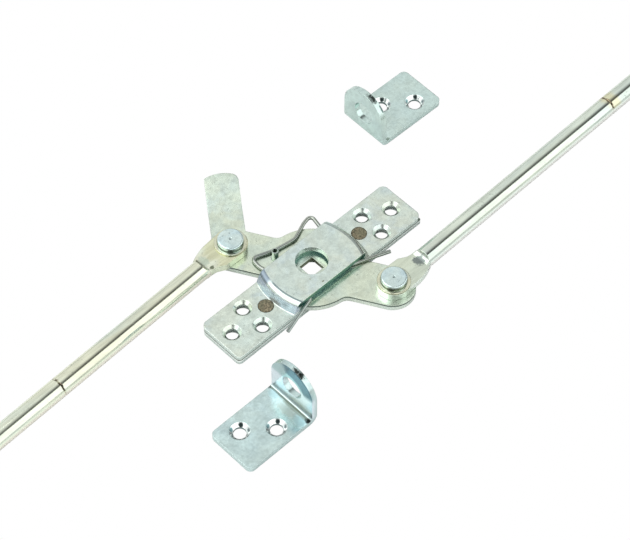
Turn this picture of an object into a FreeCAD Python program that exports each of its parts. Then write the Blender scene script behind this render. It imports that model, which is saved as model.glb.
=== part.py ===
# Rod lock: two riveted plates, a cam between them, two round rods pinned to the cam,
# a wire detent spring and two loose guide brackets.
# Millimetres, +Z up. Origin: the axis of the square spindle hole, on the mounting face (Z = 0).
# +X runs along the plates, towards the right-hand rod.
import FreeCAD, Part
import math
import os
import Sketcher
from FreeCAD import Vector as V, Placement, Rotation

doc = FreeCAD.newDocument("rod_lock")
sheet = doc.addObject("Spreadsheet::Sheet", "Dims")

DIMS = [
    # plates
    ("plate_length", 119.2), ("plate_width", 26.0), ("plate_thick", 3.0), ("plate_corner", 3.0), ("plate_front_corner", 2.2), ("plate_low_corner", 0.9), ("plate_break", 0.3),
    ("plate_shift", 0.8),
    ("screw_x_inner", 39.0), ("screw_y_inner", 6.75), ("screw_x_outer", 52.0),
    ("screw_hole", 5.9), ("screw_sink", 9.1), ("screw_clear", 8.0), ("plate_rivet_x", 30.5), ("plate_rivet_dia", 7.7),
    ("bridge_hole", 15.8), ("bridge_rise", 6.0), ("step_centre", 11.4), ("step_top_r", 33.2),
    ("step_foot_r", 38.4), ("step_bend_top", 3.3), ("step_bend_foot", 0.5), ("back_hole", 20.1),
    # cam
    ("cam_gap", 0.6), ("cam_thick", 3.4), ("cam_disc_r", 22.65), ("cam_arm_half", 11.2), ("cam_arm_shift", 0.37),
    ("cam_end_at", 39.45),
    ("pin_radius", 40.0), ("pin_angle", 120.0), ("cam_fillet", 5.5), ("spindle_square", 8.1),
    ("hub_ring_od", 20.0), ("hub_ring_id", 15.5), ("hub_ring_high", 4.4), ("hub_ring_seat", 1.0),
    ("lever_angle", 53.9), ("lever_shift", 0.05), ("lever_width", 16.5), ("lever_flat", 21.0),
    ("lever_bend_r", 9.0), ("lever_bend_deg", 20.0), ("lever_tip", 17.4), ("lever_fillet", 3.5),
    ("stop_pin_r", 18.0), ("stop_pin_angle", 120.0), ("stop_pin_od", 3.4), ("stop_pin_id", 2.3),
    ("stop_pin_top", 13.2), ("stop_pin_slit", 0.6),
    # pivots
    ("pin_shank", 8.0), ("pin_head", 12.5), ("pin_head_high", 2.6), ("pin_head_round", 0.8), ("pin_head_under", 0.7),
    ("pin_tail", 11.0), ("pin_tail_high", 1.5), ("washer_od", 16.0), ("washer_id", 8.4),
    ("washer_thick", 0.8), ("eye_gap", 0.08),
    # rods
    ("rod_dia", 10.0), ("rod_axis_z", 9.15), ("eye_thick", 4.1), ("eye_r", 8.3), ("eye_hole", 8.1),
    ("eye_shoulder", 16.0), ("eye_scoop", 4.2), ("rod_swing_left", 2.55), ("rod_swing_right", 1.2),
    ("rod_seam_left", 111.0),
    ("rod_seam_right", 151.8), ("rod_length", 190.0), ("rod_chamfer", 0.45), ("rod_end_chamfer", 1.0),
    # spring
    ("wire_dia", 1.9), ("wire_z", 8.0),
    # guide brackets
    ("guide_length", 41.5), ("guide_width", 26.8), ("guide_thick", 3.0), ("guide_bend", 1.4),
    ("guide_ear_high", 28.9), ("guide_hole", 12.0), ("guide_hole_z", 15.0),
    ("guide_screw_a", 17.4), ("guide_screw_b", 30.7), ("guide_screw_off", 5.1),
    ("guide_screw_hole", 6.2), ("guide_screw_sink", 9.8), ("guide_corner", 2.8),
    ("guide_right_x", 78.7), ("guide_right_y", 45.4), ("guide_right_turn", -0.8),
    ("guide_left_x", -54.2), ("guide_left_y", -46.45), ("guide_left_turn", 180.0),
]
for row, (alias, value) in enumerate(DIMS, start=1):
    sheet.set("A%d" % row, alias.replace("_", " "))
    sheet.set("B%d" % row, "%g" % value)
    sheet.setAlias("B%d" % row, alias)
doc.recompute()
D = dict(DIMS)


# ---------------------------------------------------------------- small helpers
def link(obj, **sizes):
    for prop, formula in sizes.items():
        obj.setExpression(prop.replace("__", "."), formula)
    return obj


def e(formula):
    # a formula over the sheet's aliases, written with bare names
    out = ""
    word = ""
    for ch in formula + " ":
        if ch.isalnum() or ch == "_":
            word += ch
        else:
            if word in D:
                word = "Dims." + word
            out += word + ch
            word = ""
    return out.strip()


def cylinder(name, radius, height, base=(0, 0, 0), turn=None):
    c = doc.addObject("Part::Cylinder", name)
    c.Placement = Placement(V(*base), turn or Rotation())
    link(c, Radius=e(radius), Height=e(height))
    return c


def cone(name, r1, r2, height, base=(0, 0, 0)):
    c = doc.addObject("Part::Cone", name)
    c.Placement = Placement(V(*base), Rotation())
    link(c, Radius1=e(r1), Radius2=e(r2), Height=e(height))
    return c


def box(name, length, width, height):
    b = doc.addObject("Part::Box", name)
    link(b, Length=e(length), Width=e(width), Height=e(height))
    return b


def place(obj, x=None, y=None, z=None, turn=None):
    if turn is not None:
        obj.Placement = Placement(obj.Placement.Base, turn)
    for axis, formula in (("x", x), ("y", y), ("z", z)):
        if formula is not None:
            obj.setExpression("Placement.Base." + axis, e(formula))
    return obj


def cut(name, base, tool):
    c = doc.addObject("Part::Cut", name)
    c.Base, c.Tool = base, tool
    return c


def fuse(name, shapes):
    f = doc.addObject("Part::MultiFuse", name)
    f.Shapes = shapes
    f.Refine = True
    return f


def common(name, shapes):
    f = doc.addObject("Part::MultiCommon", name)
    f.Shapes = shapes
    return f


def fillet(name, base, radius, pick):
    doc.recompute()
    f = doc.addObject("Part::Fillet", name)
    f.Base = base
    edges = [(i + 1, radius, radius) for i, ed in enumerate(base.Shape.Edges) if pick(ed)]
    assert edges, "no edge to round on " + name
    f.Edges = edges
    return f


def chamfer(name, base, size, pick):
    doc.recompute()
    f = doc.addObject("Part::Chamfer", name)
    f.Base = base
    edges = [(i + 1, size, size) for i, ed in enumerate(base.Shape.Edges) if pick(ed)]
    assert edges, "no edge to break on " + name
    f.Edges = edges
    return f


def upright(ed):
    return (ed.Curve.TypeId == "Part::GeomLine"
            and abs(abs(ed.tangentAt(ed.FirstParameter).z) - 1) < 1e-6)


def midpoint(ed):
    return ed.valueAt((ed.FirstParameter + ed.LastParameter) / 2)


def body(label):
    b = doc.addObject("PartDesign::Body", label)
    b.Label = label
    return b


def origin_plane(b, role):
    return [f for f in b.Origin.OriginFeatures if f.Role == role][0]


def body_sketch(b, name, role="XY_Plane", lift=None):
    s = b.newObject("Sketcher::SketchObject", name)
    s.AttachmentSupport = [(origin_plane(b, role), "")]
    s.MapMode = "FlatFace"
    if lift is not None:
        s.setExpression("AttachmentOffset.Base.z", e(lift))
    return s


def draw_rect(s, length, width):
    # a rectangle centred on the sketch's origin
    L, W = D[length], D[width]
    pts = [V(-L / 2, -W / 2, 0), V(L / 2, -W / 2, 0), V(L / 2, W / 2, 0), V(-L / 2, W / 2, 0)]
    ids = [s.addGeometry(Part.LineSegment(pts[i], pts[(i + 1) % 4]), False) for i in range(4)]
    for i in range(4):
        s.addConstraint(Sketcher.Constraint("Coincident", ids[i], 2, ids[(i + 1) % 4], 1))
    for i in (0, 2):
        s.addConstraint(Sketcher.Constraint("Horizontal", ids[i]))
    for i in (1, 3):
        s.addConstraint(Sketcher.Constraint("Vertical", ids[i]))
    s.addConstraint(Sketcher.Constraint("Symmetric", ids[0], 1, ids[1], 2, -1, 1))
    k = s.addConstraint(Sketcher.Constraint("DistanceX", ids[0], 1, ids[0], 2, L))
    s.setExpression("Constraints[%d]" % k, e(length))
    k = s.addConstraint(Sketcher.Constraint("DistanceY", ids[1], 1, ids[1], 2, W))
    s.setExpression("Constraints[%d]" % k, e(width))


def draw_circle(s, diameter, x=None, y=None, sx=1, sy=1):
    # a circle; x and y are aliases of its centre, sx and sy their signs
    cx = sx * D[x] if x else 0.0
    cy = sy * D[y] if y else 0.0
    i = s.addGeometry(Part.Circle(V(cx, cy, 0), V(0, 0, 1), D[diameter] / 2), False)
    k = s.addConstraint(Sketcher.Constraint("Diameter", i, D[diameter]))
    s.setExpression("Constraints[%d]" % k, e(diameter))
    if x:
        a, b_ = ((-1, 1), (i, 3)) if sx > 0 else ((i, 3), (-1, 1))
        k = s.addConstraint(Sketcher.Constraint("DistanceX", a[0], a[1], b_[0], b_[1], D[x]))
        s.setExpression("Constraints[%d]" % k, e(x))
    else:
        s.addConstraint(Sketcher.Constraint("PointOnObject", i, 3, -2))
    if y:
        a, b_ = ((-1, 1), (i, 3)) if sy > 0 else ((i, 3), (-1, 1))
        k = s.addConstraint(Sketcher.Constraint("DistanceY", a[0], a[1], b_[0], b_[1], D[y]))
        s.setExpression("Constraints[%d]" % k, e(y))
    else:
        s.addConstraint(Sketcher.Constraint("PointOnObject", i, 3, -1))


def pad(b, s, name, length):
    p = b.newObject("PartDesign::Pad", name)
    p.Profile = s
    p.setExpression("Length", e(length))
    return p


def pocket_up(b, s, name, length):
    # cuts from the sketch plane towards +Z
    p = b.newObject("PartDesign::Pocket", name)
    p.Profile = s
    p.setExpression("Length", e(length))
    p.Reversed = True
    doc.recompute()
    return p


def loose_sketch(name, turn=None, base=(0, 0, 0)):
    s = doc.addObject("Sketcher::SketchObject", name)
    s.Placement = Placement(V(*base), turn or Rotation())
    return s


def draw_chain(s, items):
    # items: straight runs (p, q) and arcs (p, m, q), end to end and closed or open
    ids = []
    for it in items:
        pts = [V(p[0], p[1], 0) for p in it]
        if len(pts) == 2:
            ids.append(s.addGeometry(Part.LineSegment(pts[0], pts[1]), False))
        else:
            ids.append(s.addGeometry(Part.Arc(pts[0], pts[1], pts[2]), False))
    return ids


def extrude(name, s, direction, length, symmetric=False):
    x = doc.addObject("Part::Extrusion", name)
    x.Base = s
    x.DirMode = "Custom"
    x.Dir = V(*direction)
    x.Solid = True
    x.Symmetric = symmetric
    x.setExpression("LengthFwd", e(length))
    return x


XZ = Rotation(V(1, 0, 0), 90)      # sketch x -> X, sketch y -> Z
YZ = Rotation(V(1, 1, 1), 120)     # sketch x -> Y, sketch y -> Z

# ---------------------------------------------------------------- back plate
b = body("back_plate")
s = body_sketch(b, "back_outline")
draw_rect(s, "plate_length", "plate_width")
pad(b, s, "back_pad", "plate_thick")
s = body_sketch(b, "back_holes")
draw_circle(s, "back_hole", None, "plate_shift")
for sx in (1, -1):
    draw_circle(s, "plate_rivet_dia", "plate_rivet_x", None, sx)
    draw_circle(s, "screw_clear", "screw_x_outer", None, sx)
    for sy in (1, -1):
        draw_circle(s, "screw_clear", "screw_x_inner", "screw_y_inner", sx, sy)
doc.recompute()
before = b.Shape.Volume
pocket_up(b, s, "back_pocket", "plate_thick")
assert b.Shape.Volume < before - 500, "the holes did not cut the back plate"
# the corners of the front long side are crisper than those of the back one
for label, radius, sides, side_y in (("back_front_left", "plate_front_corner", (-1,), -1),
                                     ("back_front_right", "plate_low_corner", (1,), -1),
                                     ("back_corners", "plate_corner", (-1, 1), 1)):
    base_ = b.Tip
    f = b.newObject("PartDesign::Fillet", label)
    f.Base = (base_, ["Edge%d" % (i + 1) for i, ed in enumerate(base_.Shape.Edges) if upright(ed)
                      and any(abs(midpoint(ed).x - sx * D["plate_length"] / 2) < 0.01 for sx in sides)
                      and midpoint(ed).y * side_y > 0])
    f.setExpression("Radius", e(radius))
    doc.recompute()
doc.recompute()
c = b.newObject("PartDesign::Chamfer", "back_break")
zt = D["plate_thick"]
edge_x = D["plate_length"] / 2
edge_y = D["plate_width"] / 2
c.Base = (f, ["Edge%d" % (i + 1) for i, ed in enumerate(f.Shape.Edges)
              if abs(ed.BoundBox.ZMin - zt) < 1e-3 and abs(ed.BoundBox.ZMax - zt) < 1e-3
              and (abs(midpoint(ed).x) > edge_x - 3 or abs(midpoint(ed).y) > edge_y - 0.1)
              and (ed.Curve.TypeId == "Part::GeomLine" or abs(midpoint(ed).x) > edge_x - 2)])
c.setExpression("Size", e("plate_break"))
# the strips' centre line lies beside the spindle's axis
place(b, y="-plate_shift")
doc.recompute()

# ---------------------------------------------------------------- bridge plate
# Sheet profile across one end step, drawn outwards from the step's centre of curvature.
T = D["plate_thick"]
Rt, Rb, ro, ri = D["step_top_r"], D["step_foot_r"], D["step_bend_top"], D["step_bend_foot"]
rise, z_top, z_low = D["bridge_rise"], 2 * T + D["bridge_rise"], 2 * T
lo, hi = math.radians(30), math.radians(89)
for _ in range(60):
    th = (lo + hi) / 2
    run = (rise - (ro + ri) * (1 - math.cos(th))) / math.sin(th)
    if (ro + ri) * math.sin(th) + run * math.cos(th) > Rb - Rt:
        lo = th
    else:
        hi = th


def on(cx, cz, r, a):
    return (cx + r * math.sin(a), cz + r * math.cos(a))


ct, cb = (Rt, z_top - ro), (Rb, z_low + ri)
far = 90.0
items = [
    ((0, z_top), (Rt, z_top)),
    ((Rt, z_top), on(*ct, ro, th / 2), on(*ct, ro, th)),
    (on(*ct, ro, th), on(*cb, -ri, th)),
    (on(*cb, -ri, th), on(*cb, -ri, th / 2), (Rb, z_low)),
    ((Rb, z_low), (far, z_low)),
    ((far, z_low), (far, z_low - T)),
    ((far, z_low - T), (Rb, z_low - T)),
    ((Rb, z_low - T), on(*cb, -(ri + T), th / 2), on(*cb, -(ri + T), th)),
    (on(*cb, -(ri + T), th), on(*ct, ro - T, th)),
    (on(*ct, ro - T, th), on(*ct, ro - T, th / 2), (Rt, z_top - T)),
    ((Rt, z_top - T), (0, z_top - T)),
    ((0, z_top - T), (0, z_top)),
]
s = loose_sketch("step_profile", XZ)
draw_chain(s, items)
place(s, x="step_centre", y="-plate_shift")
rev = doc.addObject("Part::Revolution", "step_dish")
rev.Source = s
rev.Axis = V(0, 0, 1)
rev.Angle = 360.0
rev.Solid = True
link(rev, Base__x=e("step_centre"), Base__y=e("-plate_shift"))
half = box("bridge_half", "plate_length/2", "plate_width", "4*plate_thick+bridge_rise")
place(half, "-plate_length/2", "-plate_width/2-plate_shift", "0")
left_half = common("bridge_left", [rev, half])
mir = doc.addObject("Part::Mirroring", "bridge_right")
mir.Source = left_half
mir.Base, mir.Normal = V(0, 0, 0), V(1, 0, 0)
joined = fuse("bridge_joined", [left_half, mir])
rounded = fillet("bridge_front_corner", joined, D["plate_front_corner"],
                 lambda ed: upright(ed) and abs(midpoint(ed).x + D["plate_length"] / 2) < 0.01
                 and midpoint(ed).y < -5)
rounded = fillet("bridge_corners", rounded, D["plate_corner"],
                 lambda ed: upright(ed) and abs(abs(midpoint(ed).x) - D["plate_length"] / 2) < 0.01
                 and not (midpoint(ed).x < 0 and midpoint(ed).y < -5))
rounded = chamfer("bridge_break", rounded, D["plate_break"],
                  lambda ed: abs(ed.BoundBox.ZMin - D["plate_thick"]) < 1e-3
                  and abs(ed.BoundBox.ZMax - D["plate_thick"]) < 1e-3
                  and (abs(abs(midpoint(ed).y + D["plate_shift"]) - D["plate_width"] / 2) < 1e-3
                       or abs(midpoint(ed).x) > D["plate_length"] / 2 - 2.9))
tools = [cylinder("bh0", "bridge_hole/2", "40")]
for sx in (1, -1):
    c = cylinder("bh1", "plate_rivet_dia/2", "40"); place(c, "%d*plate_rivet_x" % sx, "-plate_shift"); tools.append(c)
    spots = [("%d*screw_x_outer" % sx, "-plate_shift")]
    spots += [("%d*screw_x_inner" % sx, "%d*screw_y_inner-plate_shift" % sy) for sy in (1, -1)]
    for fx, fy in spots:
        c = cylinder("bh2", "screw_hole/2", "40"); place(c, fx, fy); tools.append(c)
        k = cone("bh3", "screw_hole/2", "screw_sink/2+0.2", "(screw_sink-screw_hole)/2+0.2")
        place(k, fx, fy, "2*plate_thick-(screw_sink-screw_hole)/2"); tools.append(k)
bridge = cut("bridge_plate", rounded, fuse("bridge_tools", tools))
bridge.Label = "bridge_plate"

# ---------------------------------------------------------------- plate rivets (two, flush)
riv = []
for sx, n in ((1, "rivet_a"), (-1, "rivet_b")):
    c = cylinder(n, "plate_rivet_dia/2", "2*plate_thick")
    place(c, "%d*plate_rivet_x" % sx, "-plate_shift")
    riv.append(c)
rivets = doc.addObject("Part::Compound", "plate_rivets")
rivets.Links = riv
rivets.Label = "plate_rivets"

# ---------------------------------------------------------------- cam plate with its finger lever
Z0 = "plate_thick+cam_gap"
z0 = D["plate_thick"] + D["cam_gap"]
z1 = z0 + D["cam_thick"]
pieces = [place(cylinder("cam_disc", "cam_disc_r", "cam_thick"), z=Z0)]
pins = {}
for side, sgn in (("left", 1), ("right", -1)):
    a = math.radians(D["pin_angle"] + (0 if sgn > 0 else 180))
    arm = box("cam_arm_" + side, "cam_end_at", "2*cam_arm_half", "cam_thick")
    off = V(0, -D["cam_arm_half"] - D["cam_arm_shift"], 0)
    rot = Rotation(V(0, 0, 1), math.degrees(a))
    arm.Placement = Placement(rot.multVec(off) + V(0, 0, z0), rot)
    end = cylinder("cam_end_" + side, "cam_arm_half", "cam_thick")
    px = "%d*pin_radius*cos(pin_angle*1deg)" % sgn
    py = "%d*pin_radius*sin(pin_angle*1deg)" % sgn
    # the arm's rounded end is a little off the pin's axis
    place(end, "%d*(cam_end_at*cos(pin_angle*1deg)+cam_arm_shift*sin(pin_angle*1deg))" % sgn,
          "%d*(cam_end_at*sin(pin_angle*1deg)-cam_arm_shift*cos(pin_angle*1deg))" % sgn, Z0)
    pins[side] = (px, py, D["pin_radius"] * math.cos(a), D["pin_radius"] * math.sin(a))
    pieces += [arm, end]
# lever strip: flat, a soft upward bend, then a straight tip; drawn along its own length
t = D["cam_thick"]
lf, lr, la, lt = D["lever_flat"], D["lever_bend_r"], math.radians(D["lever_bend_deg"]), D["lever_tip"]


def lever_point(r, a, extra=0.0):
    # centre of the bend is above the strip
    x = lf + r * math.sin(a) + extra * math.cos(a)
    z = (z1 + lr) - r * math.cos(a) + extra * math.sin(a)
    return (x, z)


ri_, ro_ = lr, lr + t
items = [
    ((0, z1), (lf, z1)),
    ((lf, z1), lever_point(ri_, la / 2), lever_point(ri_, la)),
    (lever_point(ri_, la), lever_point(ri_, la, lt)),
    (lever_point(ri_, la, lt), lever_point(ro_, la, lt)),
    (lever_point(ro_, la, lt), lever_point(ro_, la)),
    (lever_point(ro_, la), lever_point(ro_, la / 2), (lf, z0)),
    ((lf, z0), (0, z0)),
    ((0, z0), (0, z1)),
]
s = loose_sketch("lever_profile")
turn = Rotation(V(0, 0, 1), D["lever_angle"])
across = turn.multVec(V(0, 1, 0))
pl = V(pins["left"][2], pins["left"][3], 0)
s.Placement = Placement(pl + across * D["lever_shift"], turn.multiply(XZ))
draw_chain(s, items)
strip = extrude("lever_strip", s, tuple(across), "lever_width", symmetric=True)
# plan outline of the strip's tip: gently arched, one corner crisp, the other well rounded
hw = D["lever_width"] / 2
L_end = lever_point(ri_, la, lt)[0]
tip = L_end - 0.05
s = loose_sketch("lever_plan", turn, tuple(pl + across * D["lever_shift"]))
rc = 3.4
items = [
    ((0, -hw), (tip - 4.2, -hw)),
    ((tip - 4.2, -hw), (tip - 2.3, -hw + 0.55), (tip - 0.75, -hw + 2.6)),
    ((tip - 0.75, -hw + 2.6), (tip, -1.2), (tip - 1.5, hw - 0.6)),
    ((tip - 1.5, hw - 0.6), (tip - 1.75, hw - 0.2), (tip - 2.3, hw)),
    ((tip - 2.3, hw), (0, hw)),
    ((0, hw), (0, -hw)),
]
draw_chain(s, items)
plan = extrude("lever_outline", s, (0, 0, 1), "60")
pieces.append(common("lever_shape", [strip, plan]))
cam0 = fuse("cam_blank", pieces)


def inner_corner(ed):
    return upright(ed) and abs(math.hypot(midpoint(ed).x, midpoint(ed).y) - D["cam_disc_r"]) < 0.05


cam1 = fillet("cam_rounded", cam0, D["cam_fillet"], inner_corner)


pa = math.radians(D["pin_angle"])
end_l = V(D["cam_end_at"] * math.cos(pa) + D["cam_arm_shift"] * math.sin(pa),
          D["cam_end_at"] * math.sin(pa) - D["cam_arm_shift"] * math.cos(pa), 0)


def lever_root(ed):
    m = midpoint(ed)
    return upright(ed) and abs(math.hypot(m.x - end_l.x, m.y - end_l.y) - D["cam_arm_half"]) < 0.05 and m.y > pl.y - 6


cam2 = fillet("cam_lever_root", cam1, D["lever_fillet"], lever_root)
sq = box("spindle_cut", "spindle_square", "spindle_square", "cam_thick+2")
place(sq, "-spindle_square/2", "-spindle_square/2", "plate_thick-0.5")
tools = [sq]
for side in ("left", "right"):
    c = cylinder("pin_bore_" + side, "pin_shank/2", "cam_thick+2")
    place(c, pins[side][0], pins[side][1], "plate_thick-0.5")
    tools.append(c)
SX, SY = "stop_pin_r*cos(stop_pin_angle*1deg)", "stop_pin_r*sin(stop_pin_angle*1deg)"
seat = cylinder("ring_seat", "hub_ring_od/2", "hub_ring_seat+1")
place(seat, z="plate_thick+cam_gap-1")
tools.append(seat)
c = cylinder("stop_bore", "stop_pin_od/2", "cam_thick+2")
place(c, SX, SY, "plate_thick-0.5")
tools.append(c)
cam = cut("cam_cut", cam2, fuse("cam_tools", tools))
cam.Label = "cam_plate"

# ---------------------------------------------------------------- hub ring under the cam
r_o = cylinder("ring_outer", "hub_ring_od/2", "hub_ring_high")
place(r_o, z="plate_thick+cam_gap+hub_ring_seat-hub_ring_high")
r_i = cylinder("ring_inner", "hub_ring_id/2", "hub_ring_high+2")
place(r_i, z="plate_thick+cam_gap-hub_ring_high")
hub = cut("hub_ring", r_o, r_i)
hub.Label = "hub_ring"

# ---------------------------------------------------------------- stop pin: slit spring sleeve
p_o = cylinder("sleeve_outer", "stop_pin_od/2", "stop_pin_top-plate_thick-cam_gap")
p_i = cylinder("sleeve_inner", "stop_pin_id/2", "stop_pin_top")
sl = box("sleeve_slit", "stop_pin_od", "stop_pin_slit", "stop_pin_top")
place(p_o, SX, SY, Z0)
place(p_i, SX, SY, "0")
sl.Placement = Placement(V(D["stop_pin_r"] * math.cos(math.radians(D["stop_pin_angle"])),
                           D["stop_pin_r"] * math.sin(math.radians(D["stop_pin_angle"])) - D["stop_pin_slit"] / 2, 0),
                         Rotation())
stop_pin = cut("stop_pin", p_o, fuse("sleeve_tools", [p_i, sl]))
stop_pin.Label = "stop_pin"

# ---------------------------------------------------------------- pivot pins and washers
for side in ("left", "right"):
    px, py = pins[side][0], pins[side][1]
    shank = cylinder("shank_" + side, "pin_shank/2", "cam_thick+2*eye_gap+eye_thick+washer_thick")
    head = cylinder("head_" + side, "pin_head/2", "pin_head_high")
    tail = cone("tail_" + side, "pin_tail/2-1", "pin_tail/2", "pin_tail_high")
    for obj, lift in ((shank, Z0), (head, "plate_thick+cam_gap+cam_thick+2*eye_gap+eye_thick+washer_thick"),
                      (tail, "plate_thick+cam_gap-pin_tail_high")):
        place(obj, px, py, lift)
    whole = fuse("pin_whole_" + side, [shank, head, tail])
    ztop = z1 + 2 * D["eye_gap"] + D["eye_thick"] + D["washer_thick"] + D["pin_head_high"]
    round_ = fillet("pin_round_" + side, whole, D["pin_head_round"],
                    lambda ed, zt=ztop: abs(midpoint(ed).z - zt) < 1e-3)
    zunder = z1 + 2 * D["eye_gap"] + D["eye_thick"] + D["washer_thick"]
    round_ = chamfer("pin_under_" + side, round_, D["pin_head_under"],
                     lambda ed, zt=zunder: abs(midpoint(ed).z - zt) < 1e-3 and ed.BoundBox.XLength > D["pin_head"] - 0.5)
    dot = cone("pin_dot_" + side, "0.05", "0.9", "0.5")
    place(dot, px, py, "plate_thick+cam_gap+cam_thick+2*eye_gap+eye_thick+washer_thick+pin_head_high-0.45")
    pin = cut(side + "_pivot_pin", round_, dot)
    pin.Label = side + "_pivot_pin"
    w_o = cylinder("washer_outer_" + side, "washer_od/2", "washer_thick")
    w_i = cylinder("washer_inner_" + side, "washer_id/2", "washer_thick+2")
    place(w_o, px, py, "plate_thick+cam_gap+cam_thick+2*eye_gap+eye_thick")
    place(w_i, px, py, "plate_thick+cam_gap+cam_thick+2*eye_gap+eye_thick-1")
    wa = cut("washer_cut_" + side, w_o, w_i)
    wtop = z1 + 2 * D["eye_gap"] + D["eye_thick"] + D["washer_thick"]
    wa = chamfer(side + "_pin_washer", wa, 0.2,
                 lambda ed, zt=wtop: abs(midpoint(ed).z - zt) < 1e-3 and ed.BoundBox.XLength > D["washer_od"] - 1)
    wa.Label = side + "_pin_washer"

# ---------------------------------------------------------------- rods
# Drawn with the pin at the origin and the rod along +x, then turned and moved into place.
R, er, sh0, sc = D["rod_dia"] / 2, D["eye_r"], D["eye_shoulder"], D["eye_scoop"]
ze0 = z1 + D["eye_gap"]
ze1 = ze0 + D["eye_thick"]
za = D["rod_axis_z"]


def rod_eye(side, seam, where):
    s = loose_sketch("eye_plan_" + side)
    xs = sh0 + sc
    # outline of the forged flat: round about the pin, full on its outer side up to the shoulder,
    # tapering on its inner side
    a1 = math.radians(86.6)
    inner_t = (er * math.cos(a1), er * math.sin(a1))
    items = [
        ((0, -er), (10.5, -er + 0.55)),
        ((10.5, -er + 0.55), (15.2, -er + 1.5), (xs, -R + 0.15)),
        ((xs, -R + 0.15), (xs, R - 0.15)),
        ((xs, R - 0.15), (16.0, R + 0.05), (14.5, R + 0.35)),
        ((14.5, R + 0.35), (10.4, R + 2.7)),
        ((10.4, R + 2.7), inner_t),
        (inner_t, (-er, 0.0), (0, -er)),
    ]
    draw_chain(s, items)
    s.Placement = Placement(V(0, 0, ze0), Rotation())
    flat = extrude("eye_flat_" + side, s, (0, 0, 1), "eye_thick")
    bar = doc.addObject("Part::Cylinder", "eye_bar_" + side)
    bar.Placement = Placement(V(sh0, 0, za), Rotation(V(0, 1, 0), 90))
    link(bar, Radius=e("rod_dia/2"), Height=e(seam + "-eye_shoulder"))
    # scoops above and below the flat, where the round bar was struck flat
    tools_ = []
    for up in (1, -1):
        zf = (ze1 if up > 0 else ze0)
        far_z = za + up * (R + 3)
        s2 = loose_sketch("scoop_%s_%s" % (side, "top" if up > 0 else "low"), XZ, (0, 12, 0))
        rr = abs(za + up * (R + 0.4) - zf)
        x_end = sh0 + 1.0 + rr
        mid = (sh0 + 1.0 + rr * math.sin(math.radians(45)), zf + up * rr * (1 - math.cos(math.radians(45))))
        end_ = (x_end, zf + up * rr)
        items2 = [
            ((sh0 - 3, zf), (sh0 + 1.0, zf)),
            ((sh0 + 1.0, zf), mid, end_),
            (end_, (x_end, far_z)),
            ((x_end, far_z), (sh0 - 3, far_z)),
            ((sh0 - 3, far_z), (sh0 - 3, zf)),
        ]
        draw_chain(s2, items2)
        tools_.append(extrude("scoop_cut_%s_%d" % (side, up), s2, (0, -1, 0), "24"))
    bar2 = cut("eye_bar_cut_" + side, bar, fuse("scoops_" + side, tools_))
    joined_ = fuse("eye_joined_" + side, [flat, bar2])
    hole = cylinder("eye_hole_" + side, "eye_hole/2", "30")
    drilled = cut("eye_drilled_" + side, joined_, hole)
    end_x = D[seam]
    broken = chamfer("eye_broken_" + side, drilled, D["rod_chamfer"],
                     lambda ed: abs(ed.BoundBox.XMin - end_x) < 1e-3 and abs(ed.BoundBox.XMax - end_x) < 1e-3)
    doc.recompute()
    broken.Placement = where
    broken.Label = side + "_rod_eye"
    return broken


def rod_bar(side, seam, where):
    bar = doc.addObject("Part::Cylinder", "bar_" + side)
    bar.Placement = Placement(V(D[seam], 0, za), Rotation(V(0, 1, 0), 90))
    link(bar, Radius=e("rod_dia/2"), Height=e("rod_length-" + seam))
    x0 = D[seam]
    one = chamfer("bar_near_" + side, bar, D["rod_chamfer"],
                  lambda ed: abs(ed.BoundBox.XMin - x0) < 1e-3 and abs(ed.BoundBox.XMax - x0) < 1e-3)
    x1 = D["rod_length"]
    two = chamfer("bar_far_" + side, one, D["rod_end_chamfer"],
                  lambda ed: abs(ed.BoundBox.XMin - x1) < 1e-3 and abs(ed.BoundBox.XMax - x1) < 1e-3)
    doc.recompute()
    two.Placement = where
    two.Label = side + "_rod_bar"
    return two


for side, base_turn in (("left", 180.0), ("right", 0.0)):
    where = Placement(V(pins[side][2], pins[side][3], 0), Rotation(V(0, 0, 1), base_turn + D["rod_swing_" + side]))
    rod_eye(side, "rod_seam_" + side, where)
    rod_bar(side, "rod_seam_" + side, where)

# ---------------------------------------------------------------- wire detent spring
# One planar wire: both legs pass under the bridge, the middle bears on the stop pin.
route = [
    ((-33.9, -19.4), 0), ((-12.5, -12.9), 2.6), ((-18.35, 16.9), 8), ((-17.6, 22.85), 2.2),
    ((-6.0, 18.5), 14), ((5.2, 16.8), 5), ((15.0, 20.85), 12), ((20.4, 21.8), 1.9),
    ((13.2, -12.0), 2.6), ((32.7, -19.7), 0),
]


def rounded_route(points):
    # straight runs joined by tangent arcs
    out, start = [], points[0][0]
    for i in range(1, len(points) - 1):
        p0, p1, p2 = V(*points[i - 1][0], 0), V(*points[i][0], 0), V(*points[i + 1][0], 0)
        r = points[i][1]
        u, w = (p0 - p1).normalize(), (p2 - p1).normalize()
        half_a = math.acos(max(-1, min(1, u.dot(w)))) / 2
        back = r / math.tan(half_a)
        a, c = p1 + u * back, p1 + w * back
        centre = p1 + (u + w).normalize() * (r / math.sin(half_a))
        m = centre + (p1 - centre).normalize() * r
        out.append(((start[0], start[1]), (a.x, a.y)))
        out.append(((a.x, a.y), (m.x, m.y), (c.x, c.y)))
        start = (c.x, c.y)
    out.append((start, points[-1][0]))
    return out


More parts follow.
